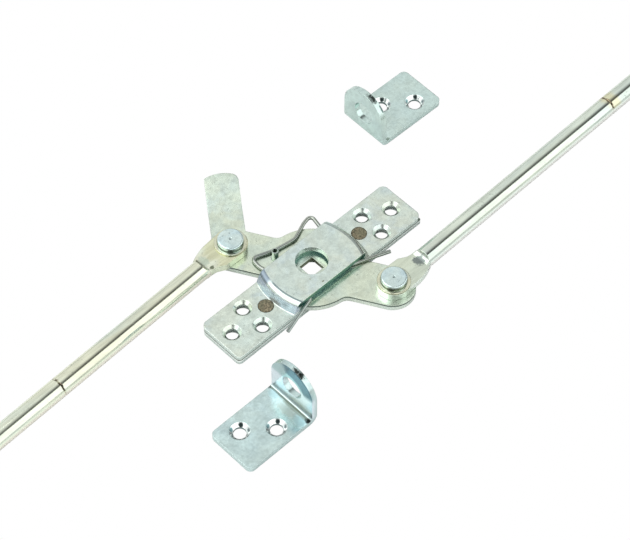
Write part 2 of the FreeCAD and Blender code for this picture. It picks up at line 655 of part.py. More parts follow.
chain = rounded_route(route)
for seg in chain:
    if len(seg) == 2:
        assert math.dist(seg[0], seg[1]) > 0.05
s = loose_sketch("spring_path", None, (0, 0, 0))
place(s, z="wire_z")
draw_chain(s, chain)
sec = doc.addObject("Part::Circle", "spring_section")
link(sec, Radius=e("wire_dia/2"))
d0 = V(chain[0][1][0] - chain[0][0][0], chain[0][1][1] - chain[0][0][1], 0)
sec.Placement = Placement(V(chain[0][0][0], chain[0][0][1], D["wire_z"]), Rotation(V(0, 0, 1), d0))
doc.recompute()
sw = doc.addObject("Part::Sweep", "wire_spring")
sw.Sections = [sec]
sw.Spine = (s, ["Edge%d" % (i + 1) for i in range(len(s.Shape.Edges))])
sw.Solid = True
sw.Frenet = False
sw.Label = "wire_spring"
doc.recompute()
run_length = s.Shape.Length
expect = math.pi * (D["wire_dia"] / 2) ** 2 * run_length
assert abs(sw.Shape.Volume / expect - 1) < 0.02, "spring volume %g, expected %g" % (sw.Shape.Volume, expect)

# ---------------------------------------------------------------- guide brackets
gt, gb, gl = D["guide_thick"], D["guide_bend"], D["guide_length"]


def guide(side):
    # the upright ear's outer face is at x = 0 and the foot runs along +x
    high = D["guide_ear_high"]
    q = math.sin(math.radians(45))
    co = (gt + gb, gt + gb)
    items_ = [
        ((0, high), (0, gt + gb)),
        ((0, gt + gb), (co[0] - (gt + gb) * q, co[1] - (gt + gb) * q), (gt + gb, 0)),
        ((gt + gb, 0), (gl, 0)),
        ((gl, 0), (gl, gt)),
        ((gl, gt), (gt + gb, gt)),
        ((gt + gb, gt), (co[0] - gb * q, co[1] - gb * q), (gt, gt + gb)),
        ((gt, gt + gb), (gt, high)),
        ((gt, high), (0, high)),
    ]
    s_ = loose_sketch("guide_profile_" + side, XZ)
    draw_chain(s_, items_)
    prof = extrude("guide_sheet_" + side, s_, (0, 1, 0), "guide_width", symmetric=True)
    # front outline: full width with a half-round top, concentric with the bore
    w = D["guide_width"] / 2
    s_ = loose_sketch("guide_front_" + side, YZ)
    draw_chain(s_, [
        ((-w, -1), (w, -1)), ((w, -1), (w, high - w)),
        ((w, high - w), (0, high), (-w, high - w)), ((-w, high - w), (-w, -1)),
    ])
    front = extrude("guide_outline_" + side, s_, (1, 0, 0), "guide_length+10")
    blank = common("guide_blank_" + side, [prof, front])
    soft = fillet("guide_corners_" + side, blank, D["guide_corner"],
                  lambda ed: upright(ed) and abs(midpoint(ed).x - gl) < 0.01)
    tools_ = []
    c_ = cylinder("guide_bore_" + side, "guide_hole/2", "20", turn=Rotation(V(0, 1, 0), 90))
    place(c_, "-5", "0", "guide_hole_z")
    tools_.append(c_)
    for fx, fy in (("guide_screw_a", "guide_screw_off"), ("guide_screw_b", "-guide_screw_off")):
        c_ = cylinder("guide_screw_" + side, "guide_screw_hole/2", "10")
        place(c_, fx, fy, "-2")
        k_ = cone("guide_sink_" + side, "guide_screw_hole/2", "guide_screw_sink/2+0.2",
                  "(guide_screw_sink-guide_screw_hole)/2+0.2")
        place(k_, fx, fy, "guide_thick-(guide_screw_sink-guide_screw_hole)/2")
        tools_ += [c_, k_]
    g = cut("guide_cut_" + side, soft, fuse("guide_tools_" + side, tools_))
    doc.recompute()
    g.Placement = Placement(V(D["guide_%s_x" % side], D["guide_%s_y" % side], 0),
                            Rotation(V(0, 0, 1), D["guide_%s_turn" % side]))
    g.Label = side + "_guide_bracket"
    return g


guide("right")
guide("left")

# ---------------------------------------------------------------- check and write
doc.recompute()
NODES = ["back_plate", "bridge_plate", "plate_rivets", "cam_plate", "hub_ring", "stop_pin",
         "left_pivot_pin", "right_pivot_pin", "left_pin_washer", "right_pin_washer",
         "left_rod_eye", "left_rod_bar", "right_rod_eye", "right_rod_bar", "wire_spring",
         "right_guide_bracket", "left_guide_bracket"]
for obj in doc.Objects:
    bad = [x for x in obj.State if x in ("Invalid", "Error")]
    assert not bad, "%s is %s" % (obj.Label, bad)
os.makedirs("parts", exist_ok=True)
found = {obj.Label: obj for obj in doc.Objects if obj.Label in NODES}
assert len(found) == len(NODES), sorted(set(NODES) - set(found))
for name in NODES:
    shape = found[name].Shape
    assert not shape.isNull() and shape.isValid(), name + " is not a valid shape"
    assert shape.Solids, name + " holds no solid"
for name in NODES:
    shape = found[name].Shape
    shape.exportStep("parts/%s.step" % name)
    bb = shape.BoundBox
    print("%-20s solids %d  volume %9.1f  x %.1f..%.1f y %.1f..%.1f z %.1f..%.1f" % (
        name, len(shape.Solids), shape.Volume, bb.XMin, bb.XMax, bb.YMin, bb.YMax, bb.ZMin, bb.ZMax))
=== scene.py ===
import bpy
import bmesh
import math
from mathutils import Matrix, Vector


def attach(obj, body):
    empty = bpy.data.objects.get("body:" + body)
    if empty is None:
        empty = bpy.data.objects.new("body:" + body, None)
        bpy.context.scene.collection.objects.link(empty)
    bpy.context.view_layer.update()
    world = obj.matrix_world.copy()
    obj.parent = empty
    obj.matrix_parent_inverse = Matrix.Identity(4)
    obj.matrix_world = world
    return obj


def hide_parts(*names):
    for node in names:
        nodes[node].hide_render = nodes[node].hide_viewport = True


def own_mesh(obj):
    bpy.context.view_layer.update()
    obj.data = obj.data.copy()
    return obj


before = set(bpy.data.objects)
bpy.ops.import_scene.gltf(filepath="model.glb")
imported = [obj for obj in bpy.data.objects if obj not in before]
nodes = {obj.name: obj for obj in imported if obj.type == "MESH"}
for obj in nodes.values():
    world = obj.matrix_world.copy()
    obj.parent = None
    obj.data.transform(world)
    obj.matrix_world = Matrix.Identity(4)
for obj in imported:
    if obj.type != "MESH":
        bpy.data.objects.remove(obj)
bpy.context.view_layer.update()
MM = 0.001

# Where things are, in millimetres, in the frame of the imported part.
PIN_L = (-20.0, 34.641)
PIN_R = (20.0, -34.641)
SWING_L, SWING_R = 2.55, 1.2
GUIDE_R, TURN_R = (78.7, 45.4), -0.8
GUIDE_L, TURN_L = (-54.2, -46.45), 180.0


# ------------------------------------------------------------------ node helpers
class Tree:
    def __init__(self, name):
        self.mat = bpy.data.materials.new(name)
        self.mat.use_nodes = True
        self.t = self.mat.node_tree
        self.t.nodes.clear()
        self.out = self.t.nodes.new("ShaderNodeOutputMaterial")
        self.bsdf = self.t.nodes.new("ShaderNodeBsdfPrincipled")
        self.t.links.new(self.bsdf.outputs[0], self.out.inputs[0])
        tc = self.t.nodes.new("ShaderNodeTexCoord")
        self.co = tc.outputs["Object"]

    def link(self, a, b):
        self.t.links.new(a, b)

    def put(self, sock, v):
        if isinstance(v, bpy.types.NodeSocket):
            self.link(v, sock)
        else:
            sock.default_value = v

    def math(self, op, a, b=0.0, c=0.0, clamp=False):
        n = self.t.nodes.new("ShaderNodeMath")
        n.operation = op
        n.use_clamp = clamp
        for i, v in enumerate((a, b, c)):
            self.put(n.inputs[i], v)
        return n.outputs[0]

    def mapping(self, scale=(1, 1, 1), rot=0.0, loc=(0, 0, 0)):
        n = self.t.nodes.new("ShaderNodeMapping")
        n.inputs["Scale"].default_value = scale
        n.inputs["Rotation"].default_value = (0, 0, math.radians(rot))
        n.inputs["Location"].default_value = loc
        self.link(self.co, n.inputs["Vector"])
        return n.outputs[0]

    def noise(self, scale, detail=3.0, rough=0.55, vec=None, distort=0.0):
        n = self.t.nodes.new("ShaderNodeTexNoise")
        n.inputs["Scale"].default_value = scale
        n.inputs["Detail"].default_value = detail
        n.inputs["Roughness"].default_value = rough
        n.inputs["Distortion"].default_value = distort
        self.link(vec if vec is not None else self.co, n.inputs["Vector"])
        return n.outputs[0]

    def spread(self, v, lo, hi, to_lo=0.0, to_hi=1.0, smooth=True):
        n = self.t.nodes.new("ShaderNodeMapRange")
        n.interpolation_type = "SMOOTHSTEP" if smooth else "LINEAR"
        n.clamp = True
        self.put(n.inputs[0], v)
        n.inputs[1].default_value, n.inputs[2].default_value = lo, hi
        n.inputs[3].default_value, n.inputs[4].default_value = to_lo, to_hi
        return n.outputs[0]

    def mix(self, f, a, b, mode="MIX"):
        n = self.t.nodes.new("ShaderNodeMix")
        n.data_type = "RGBA"
        n.blend_type = mode
        self.put(n.inputs[0], f)
        for i, v in ((6, a), (7, b)):
            if isinstance(v, tuple):
                v = (*v, 1.0) if len(v) == 3 else v
            self.put(n.inputs[i], v)
        return n.outputs[2]

    def xyz(self, vec=None):
        n = self.t.nodes.new("ShaderNodeSeparateXYZ")
        self.link(vec if vec is not None else self.co, n.inputs[0])
        return n.outputs

    def local(self, frm, turn):
        # coordinates measured from a point, along a turned X axis
        v = self.t.nodes.new("ShaderNodeMapping")
        v.vector_type = "TEXTURE"
        v.inputs["Location"].default_value = (frm[0] * MM, frm[1] * MM, 0)
        v.inputs["Rotation"].default_value = (0, 0, math.radians(turn))
        self.link(self.co, v.inputs["Vector"])
        return self.xyz(v.outputs[0])

    def within(self, v, lo, hi, soft):
        # 1 between lo and hi (millimetres), fading over soft outside them
        a = self.spread(v, (lo - soft) * MM, lo * MM)
        return self.math("MULTIPLY", a, self.spread(v, hi * MM, (hi + soft) * MM, 1.0, 0.0))

    def walls(self):
        # 1 on upright faces, 0 on level ones
        n = self.t.nodes.new("ShaderNodeNewGeometry")
        sep = self.t.nodes.new("ShaderNodeSeparateXYZ")
        self.link(n.outputs["True Normal"], sep.inputs[0])
        return self.spread(self.math("ABSOLUTE", sep.outputs[2]), 0.35, 0.6, 1.0, 0.0)

    def bump(self, height, strength, distance, base=None):
        n = self.t.nodes.new("ShaderNodeBump")
        n.inputs["Strength"].default_value = strength
        n.inputs["Distance"].default_value = distance
        self.link(height, n.inputs["Height"])
        if base is not None:
            self.link(base, n.inputs["Normal"])
        return n.outputs[0]

    def bevel(self, radius):
        n = self.t.nodes.new("ShaderNodeBevel")
        n.samples = 4
        n.inputs["Radius"].default_value = radius
        return n.outputs[0]


def zinc(name, base, warm, cool, rough=(0.09, 0.20), speck=0.55, grain=(1, 1, 1), turn=0.0,
         edge=0.45, seams=(), zones=(), dull_spots=(), spots=(), layer=None, ear=None, blotch=0.5, metal=0.94, relief=0.16,
         blocks=(), rings=(), glow=None):
    """Bright zinc over steel: soft patches of yellow and blue film, fine dark specks, drawn or rolled grain."""
    m = Tree(name)
    field = m.mapping(scale=grain, rot=-turn)
    big = m.noise(38.0, 4.0, 0.62, vec=field, distort=0.6)
    mid = m.noise(170.0, 4.0, 0.65, vec=field)
    fine = m.noise(620.0, 3.0, 0.6, vec=field)
    col = m.mix(m.math("MULTIPLY", m.spread(big, 0.38, 0.62), blotch), base, warm)
    patch = m.noise(64.0, 3.0, 0.6, vec=m.mapping(scale=grain, rot=-turn, loc=(0.31, 0.17, 0.05)), distort=0.4)
    col = m.mix(m.math("MULTIPLY", m.spread(patch, 0.48, 0.66), blotch), col, cool)
    for frm, axis_turn, x0, x1, x2, x3, tint, strength in zones:
        # a warmer film along one stretch of the bar
        x = m.math("ADD", m.local(frm, axis_turn)[0], m.spread(mid, 0.3, 0.7, -0.002, 0.002))
        f = m.math("MULTIPLY", m.spread(x, x0 * MM, x1 * MM), m.spread(x, x2 * MM, x3 * MM, 1.0, 0.0))
        col = m.mix(m.math("MULTIPLY", f, strength), col, tint)
    # broken light and dark mottling of the plating
    shade = m.math("ADD", m.spread(mid, 0.30, 0.70, -0.10, 0.10), m.spread(fine, 0.30, 0.70, -0.07, 0.07))
    bright = m.math("ADD", shade, 1.0)
    hsv = m.t.nodes.new("ShaderNodeHueSaturation")
    hsv.inputs["Saturation"].default_value = 1.0
    m.link(bright, hsv.inputs["Value"])
    m.link(col, hsv.inputs["Color"])
    col = hsv.outputs[0]
    # small dark pits and stains
    pits = m.noise(900.0, 2.0, 0.5, vec=m.mapping(loc=(0.7, 0.2, 0.4)))
    where = m.noise(120.0, 2.0, 0.5, vec=m.mapping(loc=(0.1, 0.9, 0.2)))
    pit = m.math("MULTIPLY", m.spread(pits, 0.63, 0.70), m.spread(where, 0.46, 0.60))
    pit = m.math("MULTIPLY", pit, speck)
    dark = tuple(c * 0.42 for c in base)
    col = m.mix(pit, col, dark)
    # long hairline scratches
    hair_v = m.mapping(scale=(1, 1, 1), rot=-turn + 37.0)
    hair_s = m.t.nodes.new("ShaderNodeMapping")
    hair_s.inputs["Scale"].default_value = (6.0, 900.0, 900.0)
    m.link(hair_v, hair_s.inputs["Vector"])
    hair = m.noise(1.0, 2.0, 0.5, vec=hair_s.outputs[0])
    scratch = m.math("MULTIPLY", m.spread(hair, 0.66, 0.72), m.spread(where, 0.40, 0.62))
    col = m.mix(m.math("MULTIPLY", scratch, 0.20), col, tuple(min(1.0, c * 1.22) for c in base))
    for frm, axis_turn, along, half, tint, strength in seams:
        # a dark line round the bar, at a distance from the pin
        x, y, z = m.local(frm, axis_turn)
        wob = m.spread(m.noise(420.0, 2.0), 0.3, 0.7, -0.00035, 0.00035)
        d = m.math("ABSOLUTE", m.math("SUBTRACT", m.math("ADD", x, wob), along * MM))
        line = m.spread(d, half * 0.4 * MM, half * MM, 1.0, 0.0)
        broken = m.spread(m.noise(230.0, 2.0, vec=m.mapping(loc=(0.2, 0.6, 0.1))), 0.36, 0.56)
        col = m.mix(m.math("MULTIPLY", m.math("MULTIPLY", line, broken), strength), col, tint)
    upright = m.walls() if blocks else None
    for box, soft, walls_only, tint, strength in blocks:
        # a tinted box of space: x, y and z limits in millimetres, None for no limit
        f = None
        for v, lim in zip(m.xyz(), box):
            if lim is not None:
                g = m.within(v, lim[0], lim[1], soft)
                f = g if f is None else m.math("MULTIPLY", f, g)
        if walls_only:
            f = m.math("MULTIPLY", f, upright)
        col = m.mix(m.math("MULTIPLY", f, strength), col, tint)
    for cx, cy, r0, r1, soft, zlim, ylim, tint, strength in rings:
        # a ring, or an arc of one, about an upright axis
        x, y, z = m.local((cx, cy), 0.0)
        rr = m.math("SQRT", m.math("ADD", m.math("MULTIPLY", x, x), m.math("MULTIPLY", y, y)))
        f = m.math("MULTIPLY", m.within(rr, r0, r1, soft), m.within(z, zlim[0], zlim[1], 0.2))
        f = m.math("MULTIPLY", f, m.within(y, ylim[0], ylim[1], 2.5))
        col = m.mix(m.math("MULTIPLY", f, strength), col, tint)
    rag = m.noise(700.0, 3.0, 0.6) if (dull_spots or spots) else None
    dull = None
    for frm, axis_turn, cx, cy, rx, ry, tint, strength in dull_spots:
        # a dull spot with a ragged rim, darker or lighter as its tint gives
        x, y, z = m.local(frm, axis_turn)
        dx = m.math("DIVIDE", m.math("SUBTRACT", x, cx * MM), rx * MM)
        dy = m.math("DIVIDE", m.math("SUBTRACT", y, cy * MM), ry * MM)
        d = m.math("SQRT", m.math("ADD", m.math("MULTIPLY", dx, dx), m.math("MULTIPLY", dy, dy)))
        d = m.math("ADD", d, m.spread(rag, 0.3, 0.7, -0.25, 0.25))
        f = m.math("MULTIPLY", m.spread(d, 0.65, 1.1, 1.0, 0.0), strength)
        col = m.mix(f, col, tint)
        dull = f if dull is None else m.math("MAXIMUM", dull, f)
    for frm, axis_turn, centre, radii, tint, strength, ragged in spots:
        # a patch about a point of the piece
        x, y, z = m.local(frm, axis_turn)
        d = None
        for v, c, rr in zip((x, y, z), centre, radii):
            q = m.math("DIVIDE", m.math("SUBTRACT", v, c * MM), rr * MM)
            q = m.math("MULTIPLY", q, q)
            d = q if d is None else m.math("ADD", d, q)
        d = m.math("ADD", m.math("SQRT", d), m.spread(rag, 0.3, 0.7, -ragged, ragged))
        f = m.math("MULTIPLY", m.spread(d, 0.45, 1.15, 1.0, 0.0), strength)
        col = m.mix(f, col, tint)
        dull = f if dull is None else m.math("MAXIMUM", dull, f)
    if layer is not None:
        # painted shade in the joint between the two strips
        z = m.xyz()[2]
        d = m.math("ABSOLUTE", m.math("SUBTRACT", z, layer * MM))
        f = m.math("MULTIPLY", m.spread(d, 0.15 * MM, 0.6 * MM, 1.0, 0.0), 0.85)
        col = m.mix(f, col, lin(52, 66, 58))
    if ear is not None:
        # the upright ear: painted dark reflection in a band inside its rolled rim, on the inner face, fading out
        # towards the root
        frm, axis_turn, thick = ear
        x, y, z = m.local(frm, axis_turn)
        dy = m.math("ADD", y, 1.6 * MM)
        dz = m.math("SUBTRACT", z, 13.0 * MM)
        rr = m.math("SQRT", m.math("ADD", m.math("MULTIPLY", dy, dy), m.math("MULTIPLY", dz, dz)))
        ang = m.math("ARCTAN2", m.math("SUBTRACT", z, 15.5 * MM), y)
        f = m.math("MULTIPLY", m.spread(rr, 9.4 * MM, 10.4 * MM), m.spread(ang, 1.85, 2.2, 1.0, 0.0))
        f = m.math("MULTIPLY", f, m.spread(ang, -0.10, 0.35))
        f = m.math("MULTIPLY", f, m.spread(x, (thick - 0.5) * MM, (thick - 0.2) * MM))
        f = m.math("MULTIPLY", f, m.spread(z, 5.0 * MM, 8.0 * MM))
        col = m.mix(m.math("MULTIPLY", f, 0.9), col, lin(74, 112, 126))
    m.link(col, m.bsdf.inputs["Base Color"])
    if glow is not None:
        # painted glow: the bridge emits a faint teal light in a thin level band, standing in for light held between the
        # two strips of the bridge
        lo_z, hi_z, tint, strength = glow
        x, y, z = m.xyz()
        f = m.math("MULTIPLY", m.within(z, lo_z, hi_z, 0.05), m.within(m.math("ABSOLUTE", x), 0.0, 34.0, 1.0))
        m.bsdf.inputs["Emission Color"].default_value = (*tint, 1.0)
        m.link(m.math("MULTIPLY", f, strength), m.bsdf.inputs["Emission Strength"])
    m.bsdf.inputs["Metallic"].default_value = metal
    r = m.spread(mid, 0.3, 0.7, rough[0], rough[1])
    r = m.math("ADD", r, m.math("MULTIPLY", pit, 0.25), clamp=True)
    if dull is not None:
        r = m.math("ADD", r, m.math("MULTIPLY", dull, 0.3), clamp=True)
    m.link(r, m.bsdf.inputs["Roughness"])
    h = m.math("ADD", m.math("MULTIPLY", fine, 0.55), m.math("MULTIPLY", mid, 0.45))
    h = m.math("SUBTRACT", h, m.math("MULTIPLY", pit, 0.5))
    h = m.math("SUBTRACT", h, m.math("MULTIPLY", scratch, 0.25))
    m.link(m.bump(h, relief, 0.00012, base=m.bevel(edge * MM)), m.bsdf.inputs["Normal"])
    return m.mat


def lin(r, g, b):
    return tuple(((c / 255 + 0.055) / 1.055) ** 2.4 if c > 10 else c / 255 / 12.92 for c in (r, g, b))


# painted cooler shade for the upright faces of the strips
SIDE_SHADE_TINT = lin(216, 229, 229)
FRONT_PAINTED_LINES = (
    # upright edges of the two strips: a painted cooler shade, with painted highlight and shade lines standing in for
    # the light on the rolled arrises
    ((None, None, (-1, 6.1)), 0.1, True, SIDE_SHADE_TINT, 0.6),
    ((None, None, (5.5, 6.1)), 0.15, True, lin(244, 252, 246), 0.85),
    ((None, None, (3.9, 5.1)), 0.25, True, lin(186, 204, 192), 0.55),
    ((None, None, (2.0, 2.45)), 0.15, True, lin(250, 254, 252), 0.9),
    ((None, None, (0.85, 1.35)), 0.2, True, lin(172, 182, 180), 0.6),
    ((None, None, (-0.1, 0.2)), 0.15, True, lin(176, 188, 184), 0.6),
)
plate = zinc("zinc_plate", lin(203, 217, 204), lin(212, 216, 192), lin(196, 214, 212), rough=(0.18, 0.28), layer=3.0,
             blocks=FRONT_PAINTED_LINES)
# painted light on the bridge: dark teal shade on the front wall under the raised part, a highlight along its top arris,
# and dark crease lines, shade and highlight on the two steps
bridge_m = zinc("zinc_bridge", lin(205, 219, 211), lin(213, 218, 200), lin(199, 216, 220), rough=(0.18, 0.28), layer=3.0,
                dull_spots=(((0, 0), 0.0, -4.3, -12.2, 0.8, 0.45, lin(120, 118, 96), 0.7),
                        ((0, 0), 0.0, -7.8, -7.1, 0.5, 0.4, lin(150, 150, 126), 0.6)),
                blocks=FRONT_PAINTED_LINES + (
                    (((-21.5, 21.5), (-14.5, -13.6), (8.5, 11.2)), 0.4, True, lin(74, 128, 112), 0.94),
                    (((-21.0, 21.0), (-14.5, -13.6), (11.5, 12.1)), 0.1, True, lin(236, 246, 238), 0.6),),
                rings=((11.4, -0.8, 33.3, 33.9, 0.25, (10.6, 12.3), (-14, 3.5), lin(104, 118, 122), 0.9),
                       (-11.4, -0.8, 33.4, 33.9, 0.3, (10.6, 12.3), (-14, 14), lin(120, 134, 134), 0.6),
                       (11.4, -0.8, 33.6, 36.6, 0.5, (8.4, 12.3), (7.5, 14), lin(120, 134, 146), 0.95),
                       (11.4, -0.8, 35.4, 37.9, 0.6, (6.3, 10.2), (-14, 14), lin(206, 222, 238), 0.75)),
                glow=(8.9, 9.02, lin(66, 118, 122), 0.36))
# painted light on the cam: lighter side faces, a painted dark line just under the top arris, and painted shade on the
# walls of the square hole at the hub
cam_m = zinc("zinc_cam", lin(205, 219, 205), lin(215, 220, 194), lin(199, 216, 212), rough=(0.2, 0.3),
             blocks=(((None, None, (3.0, 6.2)), 0.2, True, lin(222, 232, 226), 0.5),
                     ((None, (-60, 36), (6.1, 7.1)), 0.2, True, lin(76, 92, 84), 0.9),
                     (((-4.5, 4.5), (-4.5, 4.5), (3.0, 7.1)), 0.15, True, lin(148, 156, 124), 0.8)))
def countersink_painted_shade(frm, turn, side):
    # painted reflections in each countersink: one dark wedge, with painted shade on either side of it and along the
    # near rim
    out = []
    for sx, sy in ((17.4, 5.1), (30.7, -5.1)):
        for ang, r, size, tint, strength in ((40, 4.5, 1.4, lin(44, 58, 58), 0.95), (39, 3.95, 1.25, lin(44, 58, 58), 0.95), (38, 3.4, 1.15, lin(44, 58, 58), 0.9),
                                             (-30, 4.5, 1.5, lin(66, 92, 98), 0.85), (120, 4.5, 1.6, lin(92, 146, 150), 0.85),
                                             (226, 4.1, 1.5, lin(84, 104, 104), 0.8), (200, 4.1, 1.4, lin(84, 104, 104), 0.8),
                                             (252, 4.1, 1.4, lin(84, 104, 104), 0.8)):
            a_ = math.radians(ang - side)
            out.append((frm, turn, (sx + r * math.cos(a_), sy + r * math.sin(a_), 2.0), (size, size, 1.15), tint, strength, 0.1))
    return tuple(out)


# painted highlight on each countersink cone, and painted shade low in its bore
def cone_light(frm, side):
    c, s_ = math.cos(math.radians(side)), math.sin(math.radians(side))
    out = []
    for sx, sy in ((17.4, 5.1), (30.7, -5.1)):
        cx, cy = frm[0] + c * sx - s_ * sy, frm[1] + s_ * sx + c * sy
        out.append((cx, cy, 3.15, 4.7, 0.15, (1.3, 2.9), (-9, 9), lin(246, 250, 248), 0.85))
        out.append((cx, cy, 2.9, 3.15, 0.1, (-0.1, 1.0), (-9, 9), lin(96, 116, 116), 0.8))
    return tuple(out)


# painted light and shade: a cooler side-face shade, dark lines at the bend, a lighter lower and a darker teal upper
# inner face of the ear, painted reflections in the countersinks, brownish shade and teal patches along the bend with a
# dark corner, and dark broken reflections on the ear's rim
guide_l = zinc("zinc_guide_left", lin(191, 213, 212), lin(203, 214, 200), lin(184, 209, 217), speck=0.16, blotch=0.2, relief=0.09,
               rough=(0.17, 0.25), edge=0.4, ear=(GUIDE_L, TURN_L, 3.0),
               rings=cone_light(GUIDE_L, TURN_L),
               blocks=(((None, None, (-0.1, 2.6)), 0.3, True, lin(204, 222, 222), 0.6),
                       (((-58.95, -57.98), None, (2.9, 3.13)), 0.12, False, lin(84, 94, 84), 0.85),
                       (((-57.5, -57.0), None, (3.95, 4.5)), 0.2, False, lin(130, 142, 146), 0.75),
                       (((-57.5, -57.05), None, (4.7, 17.0)), 3.0, True, lin(228, 240, 248), 0.8),
                       (((-57.5, -57.05), None, (19.0, 31.0)), 3.0, True, lin(158, 188, 190), 0.75)),
               spots=countersink_painted_shade(GUIDE_L, TURN_L, TURN_L) + (
                      (GUIDE_L, TURN_L, (7.6, 1.5, 3.0), (3.4, 7.5, 1.5), lin(168, 166, 148), 0.35, 0.1),
                      (GUIDE_L, TURN_L, (7.6, 9.8, 3.0), (3.2, 4.4, 1.5), lin(120, 160, 166), 0.5, 0.1),
                      (GUIDE_L, TURN_L, (6.2, -9.5, 3.0), (2.2, 3.6, 1.5), lin(150, 184, 188), 0.45, 0.1),
                      (GUIDE_L, TURN_L, (5.0, 4.5, 3.1), (1.2, 11.5, 1.3), lin(112, 118, 98), 0.6, 0.1),
                      (GUIDE_L, TURN_L, (4.9, 12.4, 3.4), (1.5, 2.0, 1.2), lin(20, 26, 26), 0.97, 0.2),
                      (GUIDE_L, TURN_L, (4.8, -13.0, 3.4), (0.9, 0.8, 0.9), lin(60, 74, 72), 0.8, 0.2),
                      (GUIDE_L, TURN_L, (1.7, 2.0, 28.9), (1.4, 2.9, 1.3), lin(40, 48, 42), 0.95, 0.5),
                      (GUIDE_L, TURN_L, (1.3, 5.0, 28.2), (1.5, 2.0, 1.4), lin(30, 38, 34), 0.95, 0.5)))
# painted light and shade: a cooler side-face shade, painted reflections in the countersinks, painted shade at a corner
# of the bend, and dark broken reflections on the ear's edges
guide_r = zinc("zinc_guide_right", lin(195, 215, 210), lin(205, 216, 200), lin(188, 211, 214), speck=0.16, blotch=0.2, relief=0.09,
               rough=(0.17, 0.25), edge=0.4,
               rings=cone_light(GUIDE_R, TURN_R),
               blocks=(((None, None, (-0.1, 2.6)), 0.3, True, lin(204, 222, 220), 0.5),),
               spots=countersink_painted_shade(GUIDE_R, TURN_R, TURN_R) + (
                      (GUIDE_R, TURN_R, (4.4, -12.9, 2.9), (1.6, 0.9, 0.9), lin(120, 140, 124), 0.7, 0.25),
                      (GUIDE_R, TURN_R, (0.2, 12.6, 20.0), (0.8, 0.7, 1.1), lin(86, 100, 98), 0.8, 0.3),
                      (GUIDE_R, TURN_R, (2.0, -4.6, 28.2), (1.5, 4.4, 1.9), lin(34, 42, 36), 0.95, 0.35),
                      (GUIDE_R, TURN_R, (2.7, -9.4, 24.6), (0.7, 2.6, 2.8), lin(70, 96, 96), 0.85, 0.2)))
# painted light on the left rod: a highlight on the eye's upright walls, a painted floor reflection along the underside
# of the bar, and painted shade and a painted highlight at the eye's shoulder
rod_l = zinc("zinc_rod_left", lin(217, 225, 209), lin(220, 219, 192), lin(206, 220, 211), rough=(0.07, 0.12),
             grain=(0.16, 1.0, 1.0), turn=SWING_L, speck=0.7, blotch=0.6, relief=0.035,
             seams=((PIN_L, 180 + SWING_L, 111.0, 0.9, lin(84, 66, 48), 0.9),),
             zones=((PIN_L, 180 + SWING_L, -40, -39, 11, 16, lin(206, 208, 172), 0.75),),
             blocks=(((None, (20, 50), (6.0, 11.0)), 0.2, True, lin(240, 250, 226), 0.75),
                     (((-400, -38), None, (2.0, 9.9)), 0.9, False, lin(236, 228, 220), 0.7),),
             dull_spots=((PIN_L, 180 + SWING_L, 16.2, 3.9, 1.5, 1.0, lin(98, 106, 84), 0.9),
                     (PIN_L, 180 + SWING_L, 16.4, -1.6, 2.2, 3.6, lin(176, 194, 178), 0.6)))
# painted light on the right rod: a highlight on the eye's upright walls, a painted floor reflection along the underside
# of the bar, and painted shade at the eye's shoulder
rod_r = zinc("zinc_rod_right", lin(208, 221, 212), lin(215, 219, 198), lin(200, 215, 214), rough=(0.05, 0.11),
             grain=(0.16, 1.0, 1.0), turn=SWING_R, speck=0.5, blotch=0.45, relief=0.03,
             seams=((PIN_R, SWING_R, 151.8, 0.8, lin(96, 78, 58), 0.85),),
             zones=((PIN_R, SWING_R, -40, -39, 14, 20, lin(206, 215, 193), 0.65),
                    (PIN_R, SWING_R, 148, 151, 155, 158, lin(216, 206, 150), 0.5)),
             blocks=(((None, (-50, -20), (6.0, 11.0)), 0.2, True, lin(244, 255, 246), 0.85),
                     (((38, 400), None, (2.0, 9.9)), 0.9, False, lin(234, 230, 228), 0.7),),
             dull_spots=((PIN_R, SWING_R, 16.9, -0.2, 3.1, 3.1, lin(118, 128, 126), 0.92),))
# painted shade: a dark crevice round the foot of each head and dark reflections low on its side; a darker dot at the
# centre of each head
pin_m = zinc("zinc_pin", lin(199, 220, 221), lin(207, 220, 212), lin(190, 216, 226), speck=1.0, rough=(0.14, 0.26), edge=0.35,
             blocks=(((None, None, (12.0, 12.6)), 0.25, True, lin(92, 104, 92), 0.6),),
             spots=((PIN_L, 0.0, (0, 0, 14.4), (0.75, 0.75, 0.9), lin(120, 134, 134), 0.85, 0.1),
                    (PIN_R, 0.0, (0, 0, 14.4), (0.75, 0.75, 0.9), lin(120, 134, 134), 0.85, 0.1),
                    (PIN_L, 0.0, (-4.2, -4.7, 13.0), (1.6, 1.6, 1.1), lin(40, 54, 50), 0.9, 0.15),
                    (PIN_R, 0.0, (-5.4, -3.2, 13.0), (1.8, 1.8, 1.1), lin(60, 72, 62), 0.8, 0.15)))
# painted shadow of the pin head on the inner part of each washer
ring_m = zinc("zinc_ring", lin(204, 210, 190), lin(212, 210, 178), lin(186, 200, 194), speck=0.4, rough=(0.07, 0.14),
              rings=((PIN_L[0], PIN_L[1], 0.0, 6.5, 0.3, (11.0, 12.5), (-9, 9), lin(116, 124, 108), 0.6),
                     (PIN_R[0], PIN_R[1], 0.0, 6.5, 0.3, (11.0, 12.5), (-9, 9), lin(116, 124, 108), 0.6)))
# painted shade along the underside of the wire, just above the cam
wire_m = zinc("wire_steel", lin(152, 162, 157), lin(166, 168, 156), lin(146, 160, 160), speck=0.3, edge=0.05, rough=(0.1, 0.2),
              blocks=(((None, None, (7.0, 7.5)), 0.15, False, lin(70, 86, 76), 0.8),))
sleeve_m = zinc("sleeve_steel", lin(168, 180, 172), lin(178, 184, 168), lin(158, 174, 174), speck=0.4, edge=0.1)


